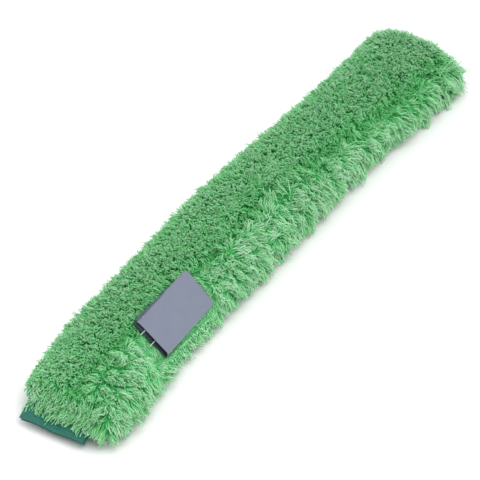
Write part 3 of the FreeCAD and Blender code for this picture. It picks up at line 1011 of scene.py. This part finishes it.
@dataclass(frozen=True)
class CombPlan:
    """How the pile lies: which way it leans, how long it is and how light.

    Profiles hold a value for each of the stations along the sleeve. The painted nap shades, tufts, frizzes
    and grains hold one for the back and one for the front.
    """

    nap: Direction = (-0.68, -0.41, 0.61)
    nap_lean: float = 0.95
    fall_lean: float = 0.72
    fall_outward: float = 0.55
    near_flow: Direction = (-0.60, -0.45, -0.35)
    near_lean: float = 0.8
    near_span: Pair = (-0.150, -0.190)
    top_heights: Pair = (0.012, 0.022)
    part_blend: float = 0.003
    part_width: float = 0.0055
    part_lean_back: float = 0.35
    part_lean_front: float = 0.75
    part_trim: float = 0.0030
    under_tilts: Pair = (-0.35, -0.75)
    under_lean: float = 2.0
    under_trim: float = 0.30
    under_thin: float = 0.5
    droop: float = 0.0014
    rim_lean: float = 0.6
    rim_trim: float = 0.30
    fringe_lean: float = 1.00
    fringe_reach: float = 0.0076
    fringe_tuft: float = 0.60
    fringe_inward: float = 0.45
    fringe_trim: float = 0.35
    slit_reach: float = 0.0040
    slit_lean: float = 1.0
    slit_width: float = 0.0070
    slit_fade: float = 1.5
    end_lean: float = 0.25
    end_trim: float = 0.25
    end_depth: float = 0.022
    whorls: tuple[Pair, ...] = ((-0.030, 1.0), (0.026, -1.0))
    whorl_radius: float = 0.017
    whorl_pitch: float = 0.012
    stations: Profile = (-0.216, -0.195, -0.165, -0.135, -0.100, 0.0, 0.10, 0.16, 0.210, 0.225)
    front_shares: Pair = (0.0, -0.75)
    front_reach: Profile = (0.0078, 0.0074, 0.0068, 0.0066, 0.0065, 0.0070, 0.0075, 0.0085, 0.0100, 0.0105)
    crown_reach: float = 0.0075
    back_shares: Pair = (0.1, 0.8)
    back_reach: Profile = (0.0035, 0.0050, 0.0060, 0.0065, 0.0070, 0.0075, 0.0065, 0.0060, 0.0055, 0.0055)
    ragged_pitch: float = 0.019
    ragged_share: float = 0.27
    ragged_drift: float = 1.7
    ragged_drift_rate: float = 0.37
    ragged_second: float = 0.6
    ragged_second_rate: float = 2.3
    ragged_second_start: float = 1.0
    pressed_reach: float = 0.0028
    pressed_lean: float = 5.0
    pressed_calm: float = 0.75
    beside_lean: float = 0.55
    # Painted light on the nap: the back of the pile darker and the front lighter, as light falls on the
    # combed strands.
    painted_nap_shades: Pair = (0.41, 0.60)
    # Painted shade: darker in the parting and on the underside of the sleeve.
    painted_part_shade: float = -0.60
    painted_under_shade: float = -0.12
    shade_end: float = 0.25
    shade_from: float = 0.170
    tufts: Pair = (0.50, 1.25)
    frizzes: Pair = (0.60, 0.66)
    grains: Pair = (280, 185)

    def along(self, values: Profile, x: np.ndarray) -> np.ndarray:
        """Look up a value that changes along the sleeve."""
        return np.interp(x, self.stations, values)

    def ragged(self, x: np.ndarray) -> np.ndarray:
        """Give the uneven length of the tufts along the front edge, as a share of the plain length.

        Args:
            x: Places along the sleeve.

        Returns:
            The share for each place.
        """
        turn = 2 * math.pi * x / self.ragged_pitch
        first = np.sin(turn + self.ragged_drift * np.sin(self.ragged_drift_rate * turn))
        second = np.sin(self.ragged_second_rate * turn + self.ragged_second_start)
        return 1 + self.ragged_share * (first + self.ragged_second * second)


@dataclass
class Zones:
    """Where the points of a piece of ground lie: their place and normal, and their share in each zone.

    The place across runs from -1 at the front to 1 at the back, and part is the distance behind the parting.
    """

    place: np.ndarray
    normal: np.ndarray
    across: np.ndarray
    part: np.ndarray
    top: np.ndarray
    front: np.ndarray
    under: np.ndarray
    rim: np.ndarray
    beside: np.ndarray
    near_part: np.ndarray
    by_slit: np.ndarray
    pressed: np.ndarray


@dataclass
class PileCover:
    """Pile over the whole sleeve: a soft ground with strands combed over it and pressed down by the label."""

    label: FoldedLabel
    lips: MouthLips
    wrap: float = 0.0016
    centre_height: float = 0.0145
    rise: float = 0.0195
    fall: float = 0.0090
    squareness: float = 2.5
    front_fill: Profile = (0.0098, 0.0110, 0.0076, 0.0036, 0.0034, 0.0018, 0.0008, 0.0050, 0.0082, 0.0090)
    back_fill: Profile = (0.0005, 0.0030, 0.0062, 0.0072, 0.0074, 0.0105, 0.0064, 0.0050, 0.0030, 0.0028)
    crown_share: Profile = (0.86, 0.93, 0.98, 1.0, 1.0, 1.0, 0.98, 0.98, 1.17, 0.48)
    far_tilt: float = 0.20
    tilt_from: float = 0.150
    corner_lead: float = 0.0090
    corner_depth: float = 0.035
    corner_width: float = 0.010
    valley_ends: Pair = (-0.0050, -0.0225)
    valley_drift: Pair = (0.0, 0.20)
    valley_depth: float = 0.0068
    valley_width: float = 0.0050
    rim_depth: float = 0.007
    rim_rings: int = 8
    rim_squareness: float = 4.0
    cap_length: float = 0.010
    cap_rings: int = 14
    cap_squareness: float = 3.2
    cap_least: float = 0.02
    rings: int = 176
    spokes: int = 112
    sections: int = 10
    end_reach: float = 0.00935
    ground_wall: float = 0.0010
    slit_half_length: float = 0.034
    slit_half_width: float = 0.0025
    press_gap: float = 0.0036
    pressed_wrap: float = 0.0006
    pressed_edge: float = 0.003
    pressed_beyond: float = 0.007
    pressed_ahead: float = 0.022
    pressed_clear: float = 0.009
    pressed_seam: float = 0.006
    pressed_front: float = 0.0025
    beside_near: float = 0.0015
    beside_full: float = 0.004
    beside_width: float = 0.009
    overhang: float = 0.0014
    lift_reach: float = 0.004
    fringe_share: float = 0.55
    fringe_behind: float = 0.0025
    fringe_margin: float = 0.005
    fringe_back: float = 0.014
    fringe_rows: int = 8
    fringe_columns: int = 40
    section_seed: int = 11
    rim_seed: int = 4
    fringe_seed: int = 5
    comb: CombPlan = CombPlan()

    def __post_init__(self) -> None:
        """Take the sleeve's places from the frame."""
        self.tube_low, self.tube_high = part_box("knit_tube")
        self.tube_centre = (self.tube_low + self.tube_high) / 2
        self.tube_reach = (self.tube_high - self.tube_low) / 2
        self.front_y = self.tube_low.y - self.wrap
        self.back_y = self.tube_high.y + self.wrap
        self.mouth_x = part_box("pile_wrap")[0].x - self.overhang
        self.end_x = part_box("far_end_pile")[1].x - self.end_reach
        self.lip_low, self.lip_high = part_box("upper_lip")
        tack_low, tack_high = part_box("slit_bar_tacks")
        self.slit_y = (tack_low.y + tack_high.y) / 2

    def span(self, x: np.ndarray) -> tuple[np.ndarray, np.ndarray]:
        """Work out where the ground lies across the sleeve.

        Args:
            x: Places along the sleeve.

        Returns:
            The ground's middle and half its width at each place.
        """
        front = self.front_y - self.comb.along(self.front_fill, x)
        back = self.back_y + self.comb.along(self.back_fill, x)
        return (back + front) / 2, (back - front) / 2

    def valley(self, x: np.ndarray) -> np.ndarray:
        """Give the place across the sleeve where the pile parts, which drifts to the front far along."""
        return between(self.valley_ends, ease(*self.valley_drift, x))

    def ring_plan(self) -> tuple[np.ndarray, np.ndarray, np.ndarray]:
        """Work out the rings along the sleeve.

        Returns:
            The rings' places, their sizes, which close the far end, and how far each has come from the tube's
            outline to the full section, which rounds the rim at the mouth.
        """
        round_in = np.linspace(0, math.pi / 2, self.rim_rings, endpoint=False)
        rim = self.mouth_x + self.rim_depth * (1 - np.cos(round_in))
        start = self.end_x - self.cap_length
        body = np.linspace(self.mouth_x + self.rim_depth, start, self.rings - self.cap_rings - self.rim_rings)
        turn = np.linspace(0, math.pi / 2, self.cap_rings + 1)[1:]
        power = 2 / self.cap_squareness
        cap = start + self.cap_length * np.sin(turn) ** power
        close = np.maximum(np.cos(turn), 0) ** power
        places = np.concatenate([rim, body, cap])
        sizes = np.ones(len(places))
        sizes[-len(cap):] = np.maximum(close, self.cap_least)
        shares = np.ones(len(places))
        shares[:len(rim)] = np.sin(round_in)
        return places, sizes, shares

    @staticmethod
    def rounded(turn: np.ndarray, squareness: float) -> tuple[np.ndarray, np.ndarray]:
        """Give the way across and upward at angles round an outline between an ellipse and a box."""
        power = 2 / squareness
        return (np.sign(np.cos(turn)) * np.abs(np.cos(turn)) ** power,
                np.sign(np.sin(turn)) * np.abs(np.sin(turn)) ** power)

    def ring(self, x: float, size: float, share: float) -> np.ndarray:
        """Work out one ring of the ground.

        Args:
            x: Its place along the sleeve.
            size: Its size as a share of the full section.
            share: How far it has come from the tube's outline to the full section.

        Returns:
            The ring's points.
        """
        turn = np.linspace(0, 2 * math.pi, self.spokes, endpoint=False)
        across, upward = self.rounded(turn, self.squareness)
        place = np.full(self.spokes, x)
        middle, half = self.span(place)
        y = middle + half * size * across
        tilt = 1 + self.far_tilt * across * ease(self.tilt_from, self.end_x, place)
        rise = self.rise * self.comb.along(self.crown_share, place) * tilt
        z = self.centre_height + np.where(upward > 0, rise, self.fall) * size * upward
        part = np.exp(-((y - self.valley(place)) / self.valley_width) ** 2)
        part *= 1 - self.beside_label(place, y)
        z = z - self.valley_depth * part * np.clip(upward, 0, 1)
        excess = np.maximum(z - self.label.height(x, y) + self.press_gap, 0)
        pressed = z - excess * self.under_label(place, y, z)
        z = np.maximum(pressed, np.minimum(z, self.tube_top(y) + self.pressed_wrap))
        tube_across, tube_upward = self.rounded(turn, self.rim_squareness)
        centre, reach = self.tube_centre, self.tube_reach
        y = share * y + (1 - share) * (centre.y + reach.y * tube_across)
        z = share * z + (1 - share) * (centre.z + reach.z * tube_upward)
        corner = ease(self.tube_low.y, self.tube_low.y - self.corner_width, y)
        lead = self.corner_lead * corner * ease(self.mouth_x + self.corner_depth, self.mouth_x, place)
        return np.column_stack([place - lead, y, z])

    def tube_top(self, y: np.ndarray) -> np.ndarray:
        """Give the height of the knitted tube's upper side.

        Args:
            y: Places across the sleeve.

        Returns:
            The height at each place.
        """
        off = np.abs((y - self.tube_centre.y) / self.tube_reach.y)
        square = self.rim_squareness
        return self.tube_centre.z + self.tube_reach.z * np.clip(1 - off ** square, 0, 1) ** (1 / square)

    def over_slit(self, centre: np.ndarray) -> bool:
        """Tell whether a face lies over the handle slit."""
        return (abs(centre[0]) < self.slit_half_length and centre[2] > self.centre_height
                and abs(centre[1] - self.slit_y) < self.slit_half_width)

    def over_lip(self, centre: np.ndarray) -> bool:
        """Tell whether a face belongs to the rim over the upper lip."""
        low, high = self.lip_low, self.lip_high
        return (centre[0] < self.mouth_x + self.rim_depth and centre[2] > self.tube_centre.z
                and low.y - self.fringe_margin < centre[1] < high.y + self.fringe_margin)

    def ground_mesh(self, name: str, first: int, last: int, chosen: Callable[[np.ndarray], bool]) -> Piece:
        """Build the ground between two rings.

        Args:
            name: Name of the piece.
            first: Number of the first ring.
            last: Number of the last ring.
            chosen: Tells from a face's centre whether the face is kept.

        Returns:
            The ground piece.
        """
        plan = list(zip(*self.ring_plan()))
        points = np.concatenate([self.ring(*ring) for ring in plan[first:last + 1]])
        faces = [face for face in tube_faces(last + 1 - first, self.spokes)
                 if chosen(points[list(face)].mean(axis=0))]
        if last == len(plan) - 1:
            faces.append(tuple(range(len(points) - self.spokes, len(points))))
        return mesh_piece(name, points, faces, GROUND_FINISH.material())

    def zones(self, mesh: bpy.types.Mesh) -> Zones:
        """Work out where the points of a ground mesh lie.

        Args:
            mesh: The mesh.

        Returns:
            Their places and zones.
        """
        plan = self.comb
        place, normal = self.read(mesh, "co"), self.read(mesh, "normal")
        x, y, z = place.T
        middle, half = self.span(x)
        part = y - self.valley(x)
        top = ease(*plan.top_heights, z)
        beside = self.beside_label(x, y) * top
        slit = ease(plan.slit_fade, 1, np.abs(x) / self.slit_half_length)
        return Zones(place, normal, across=(y - middle) / half, part=part, top=top,
                     front=ease(-plan.part_blend, plan.part_blend, -part),
                     under=ease(*plan.under_tilts, normal[:, 2]),
                     rim=np.clip(-normal[:, 0], 0, 1),
                     beside=beside,
                     near_part=np.exp(-(part / plan.part_width) ** 2) * top * (1 - beside),
                     by_slit=np.exp(-((y - self.slit_y) / plan.slit_width) ** 2) * top * slit,
                     pressed=self.under_label(x, y, z))

    def lean(self, zones: Zones) -> np.ndarray:
        """Work out which way the pile leans.

        Args:
            zones: Where the points of the ground lie.

        Returns:
            The lean at each point.
        """
        plan, front, top = self.comb, zones.front, zones.top
        x, y, _ = zones.place.T
        down = np.tile([0.0, 0.0, -1.0], (len(x), 1))
        down[:, 1] -= plan.fall_outward * front * top
        fall = plan.fall_lean * (front + (1 - front) * (1 - top)) + plan.pressed_lean * zones.pressed
        flows = ((down, fall),
                 (plan.nap, plan.nap_lean * (1 - front) * top * (1 - zones.rim)),
                 (plan.near_flow, plan.near_lean * front * ease(*plan.near_span, x)))
        lean = self.whorl(x, y, top)
        for way, strength in flows:
            outward = np.sum(way * zones.normal, axis=1)[:, None]
            lean += (way - zones.normal * outward) * strength[:, None]
        lean[:, 0] += plan.end_lean * np.exp(-np.clip(self.end_x - x, 0, None) / plan.end_depth)
        lean[:, 1] += zones.near_part * np.where(zones.part > 0, plan.part_lean_back, -plan.part_lean_front)
        lean[:, 1] += zones.under * np.sign(zones.across) * plan.under_lean + plan.beside_lean * zones.beside
        lean[:, 1] -= plan.slit_lean * zones.by_slit * np.tanh((y - self.slit_y) / self.slit_half_width)
        lean[:, 2] -= plan.rim_lean * zones.rim
        return lean

    def length(self, zones: Zones) -> np.ndarray:
        """Work out how long the pile is.

        Args:
            zones: Where the points of the ground lie.

        Returns:
            The length at each point.
        """
        plan, x = self.comb, zones.place[:, 0]
        on_front = ease(*plan.front_shares, zones.across)
        on_back = ease(*plan.back_shares, zones.across)
        reach = plan.crown_reach * (1 - on_front - on_back)
        reach += plan.along(plan.front_reach, x) * on_front * plan.ragged(x)
        reach += plan.along(plan.back_reach, x) * on_back
        reach = (reach - plan.part_trim * zones.near_part) * (1 - plan.under_trim * zones.under)
        reach += plan.slit_reach * zones.by_slit
        reach *= 1 - plan.end_trim * np.clip(zones.normal[:, 0], 0, 1)
        reach *= 1 - plan.rim_trim * zones.rim
        return reach * (1 - zones.pressed) + plan.pressed_reach * zones.pressed

    def comb_ground(self, ground: Piece) -> None:
        """Write onto a ground piece how its strands grow, lie and look.

        Args:
            ground: The piece.
        """
        plan, zones = self.comb, self.zones(ground.data)
        calm = 1 - plan.pressed_calm * zones.pressed
        # Painted light and shade: the nap's darker back and lighter front, painted shade in the parting and
        # underneath.
        shade = between(plan.painted_nap_shades, zones.front)
        shade += plan.painted_part_shade * zones.near_part + plan.painted_under_shade * zones.under
        shade += plan.shade_end * ease(plan.shade_from, self.end_x, zones.place[:, 0])
        self.write(ground.data, comb=self.lean(zones), reach=self.length(zones), shade=shade,
                   droop=plan.droop, growth=1 - plan.under_thin * zones.under,
                   tuft=between(plan.tufts, zones.front) * calm,
                   frizz=between(plan.frizzes, zones.front) * calm, grain=between(plan.grains, zones.front))

    def whorl(self, x: np.ndarray, y: np.ndarray, top: np.ndarray) -> np.ndarray:
        """Turn the pile round both ends of the handle slit.

        Args:
            x: Places along the sleeve.
            y: Places across it.
            top: Share of each point that lies on top.

        Returns:
            The lean that the whorls give.
        """
        lean = np.zeros((len(x), 3))
        for centre, spin in self.comb.whorls:
            off_x, off_y = x - centre, y - self.slit_y
            strength = spin * np.exp(-(off_x ** 2 + off_y ** 2) / self.comb.whorl_radius ** 2) * top
            lean[:, 0] -= strength * off_y / self.comb.whorl_pitch
            lean[:, 1] += strength * off_x / self.comb.whorl_pitch
        return lean

    def under_label(self, x: np.ndarray, y: np.ndarray, z: np.ndarray) -> np.ndarray:
        """Give the share to which pile is pressed flat under the label.

        Args:
            x: Places along the sleeve.
            y: Places across it.
            z: Heights.

        Returns:
            The share for each place.
        """
        low, high, edge = self.label.low, self.label.high, self.pressed_edge
        along = ease(low.x - self.pressed_ahead, low.x - self.pressed_clear, x)
        along = along * ease(high.x + self.pressed_beyond, high.x + edge / 2, x)
        seam = high.y - self.pressed_seam * ease(low.x, low.x - edge, x)
        front = low.y - self.pressed_front
        across = ease(front - edge, front, y) * ease(seam + edge, seam, y)
        return along * across * (z > self.centre_height)

    def beside_label(self, x: np.ndarray, y: np.ndarray) -> np.ndarray:
        """Give the share to which pile stands up behind the label's sewn edge.

        Args:
            x: Places along the sleeve.
            y: Places across it.

        Returns:
            The share for each place.
        """
        low, high, seam, edge = self.label.low, self.label.high, self.label.hinge.y, self.pressed_edge
        along = ease(low.x - edge, low.x, x) * ease(high.x + edge, high.x, x)
        behind = ease(seam, seam + self.beside_near, y)
        return along * behind * ease(seam + self.beside_width, seam + self.beside_full, y)

    @staticmethod
    def read(mesh: bpy.types.Mesh, name: str) -> np.ndarray:
        """Read a vector of each point of a mesh.

        Args:
            mesh: The mesh.
            name: Blender's name of the vector.

        Returns:
            The vectors.
        """
        values = np.empty(len(mesh.vertices) * 3)
        mesh.vertices.foreach_get(name, values)
        return values.reshape(-1, 3)

    @staticmethod
    def write(mesh: bpy.types.Mesh, **values: Any) -> None:
        """Store values or vectors for the points of a mesh; a single number goes to every point.

        Args:
            mesh: The mesh.
            **values: The values, by the name of the attribute.
        """
        for name, value in values.items():
            vectors = np.ndim(value) == 2
            attribute = mesh.attributes.new(name, "FLOAT_VECTOR" if vectors else "FLOAT", "POINT")
            spread = value if vectors else np.broadcast_to(value, len(mesh.vertices))
            attribute.data.foreach_set("vector" if vectors else "value", spread.astype(np.float32).ravel())

    def build(self) -> list[Piece]:
        """Build the ground and its strands, and tie the ground and the strand sections to the sleeve.

        Returns:
            The pieces.
        """
        last = len(self.ring_plan()[0]) - 1
        ground = self.ground_mesh("pile_ground", 0, last, lambda centre: not self.over_slit(centre))
        wall = ground.modifiers.new("Wall", "SOLIDIFY")
        wall.thickness = self.ground_wall
        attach(ground, Body.SLEEVE.value)
        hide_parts("pile_wrap", "far_end_pile")
        pieces = [ground]
        grower = StrandGrower(PILE_FINISH.material())
        edges = np.linspace(0, last, self.sections + 1).astype(int)
        for number in range(self.sections):
            bed = self.ground_mesh("bed", edges[number], edges[number + 1],
                                   lambda centre: not self.over_slit(centre) and not self.over_lip(centre))
            self.comb_ground(bed)
            piece = grower.grow(f"pile_strands_{number + 1}", bed, self.section_seed + number)
            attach(piece, Body.SLEEVE.value)
            pieces.append(piece)
        rim = self.ground_mesh("bed", edges[0], edges[1], self.over_lip)
        self.comb_ground(rim)
        lifting = [grower.grow("mouth_rim", rim, self.rim_seed), self.fringe(grower)]
        pieces += [self.lifted(piece) for piece in lifting]
        return pieces

    def fringe(self, grower: StrandGrower) -> Piece:
        """Grow the fringe that hangs over the upper lip.

        Args:
            grower: Grows the strands.

        Returns:
            The fringe.
        """
        plan, low, high = self.comb, self.lip_low, self.lip_high
        hinge = joint_place("mouth_open")
        slope = self.lips.slope_path("upper_lip", (hinge.x, hinge.z))
        slope = slope[:round(self.fringe_share * len(slope))]
        slope = slope[np.linspace(0, len(slope) - 1, self.fringe_rows - 1).round().astype(int)]
        path = np.vstack([slope[:1] + (self.fringe_behind, 0), slope])
        across = np.linspace(low.y - self.fringe_margin, high.y, self.fringe_columns)
        points = path_grid(path, across).reshape(-1, 3)
        faces = grid_faces(self.fringe_rows, self.fringe_columns)
        bed = mesh_piece("bed", points, faces, GROUND_FINISH.material())
        onward, upward = slope[-1] - slope[0]
        comb = np.tile(Vector((onward, 0, upward)).normalized() * plan.fringe_lean, (len(points), 1))
        behind = np.tile(ease(high.y - self.fringe_back, high.y, across), self.fringe_rows)
        comb[:, 1] -= plan.fringe_inward * behind
        # The fringe takes the front's painted nap light.
        self.write(bed.data, comb=comb, reach=plan.fringe_reach * (1 - plan.fringe_trim * behind),
                   droop=plan.droop, shade=plan.painted_nap_shades[1], growth=1.0, tuft=plan.fringe_tuft,
                   frizz=plan.frizzes[1], grain=plan.grains[1])
        return grower.grow("mouth_fringe", bed, self.fringe_seed)

    def lifted(self, piece: Piece) -> Piece:
        """Bake a piece's place into its mesh; it is not tied to the upper lip and does not lift with it.

        Args:
            piece: The piece.

        Returns:
            The same piece.
        """
        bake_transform(piece)
        return piece


@dataclass
class Studio:
    """Pale floor, soft light and a camera at the photograph's angle."""

    azimuth: float = math.radians(-58.5)
    elevation: float = math.radians(37.5)
    distance: float = 2.0
    lens: float = 230.0
    sensor: float = 36.0
    aim_height: float = 0.020
    aim_column: float = 256
    aim_row: float = 216
    floor_side: float = 6.0
    floor_colour: Colour = (0.9, 0.9, 0.9)
    floor_roughness: float = 0.95
    world_strength: float = 0.95
    key_power: float = 18.0
    key_side: float = 1.2
    key_place: Direction = (-0.5, -0.7, 1.5)

    def build(self) -> None:
        """Build the floor, the light and the camera."""
        self.floor()
        self.light()
        self.camera()

    def floor(self) -> None:
        """Lay a pale floor that the camera sees as white and that keeps the shadow."""
        half = self.floor_side / 2
        points = np.array([(-half, -half, 0), (half, -half, 0), (half, half, 0), (-half, half, 0)])
        material = bpy.data.materials.new("pale floor")
        material.use_nodes = True
        shader = material.node_tree.nodes["Principled BSDF"]
        shader.inputs["Base Color"].default_value = (*self.floor_colour, 1)
        shader.inputs["Roughness"].default_value = self.floor_roughness
        shader.inputs["Specular IOR Level"].default_value = 0.0
        piece = mesh_piece("floor", points, [(0, 1, 2, 3)], material)

    def light(self) -> None:
        """Light the scene evenly, with a broad lamp above and before the sleeve."""
        world = bpy.data.worlds.new("soft studio")
        world.use_nodes = True
        bpy.context.scene.world = world
        background = world.node_tree.nodes["Background"]
        background.inputs["Color"].default_value = (1, 1, 1, 1)
        background.inputs["Strength"].default_value = self.world_strength
        lamp = bpy.data.lights.new("key", "AREA")
        lamp.energy = self.key_power
        lamp.size = self.key_side
        key = bpy.data.objects.new("key", lamp)
        key.location = self.key_place
        key.rotation_euler = (-key.location).to_track_quat("-Z", "Y").to_euler()
        bpy.context.scene.collection.objects.link(key)

    def camera(self) -> None:
        """Place the camera so that the sleeve lies in the frame as photographed."""
        a, e = self.azimuth, self.elevation
        back = Vector((math.sin(a) * math.cos(e), -math.cos(a) * math.cos(e), math.sin(e)))
        right = Vector((math.cos(a), math.sin(a), 0))
        up = back.cross(right)
        pixel = self.distance * self.sensor / self.lens / IMAGE_SIDE
        target = Vector((0, 0, self.aim_height))
        target += right * (IMAGE_SIDE / 2 - self.aim_column) * pixel
        target -= up * (IMAGE_SIDE / 2 - self.aim_row) * pixel
        data = bpy.data.cameras.new("camera")
        data.lens = self.lens
        data.sensor_width = self.sensor
        camera = bpy.data.objects.new("camera", data)
        camera.location = target + back * self.distance
        camera.rotation_euler = (-back).to_track_quat("-Z", "Y").to_euler()
        bpy.context.scene.collection.objects.link(camera)
        bpy.context.scene.camera = camera


def main() -> None:
    """Build the sleeve's looks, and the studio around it."""
    logging.basicConfig(level=logging.INFO, format="%(name)s: %(message)s")
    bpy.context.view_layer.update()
    bpy.context.scene.view_settings.view_transform = "Standard"
    lips = MouthLips()
    label = FoldedLabel()
    lips.dress()
    label.dress()
    for piece in PileCover(label, lips).build() + lips.build() + label.build():
        log.info("%s: %d faces", piece.name, len(piece.data.polygons))
    Studio().build()


if __name__ == "__main__":
    main()
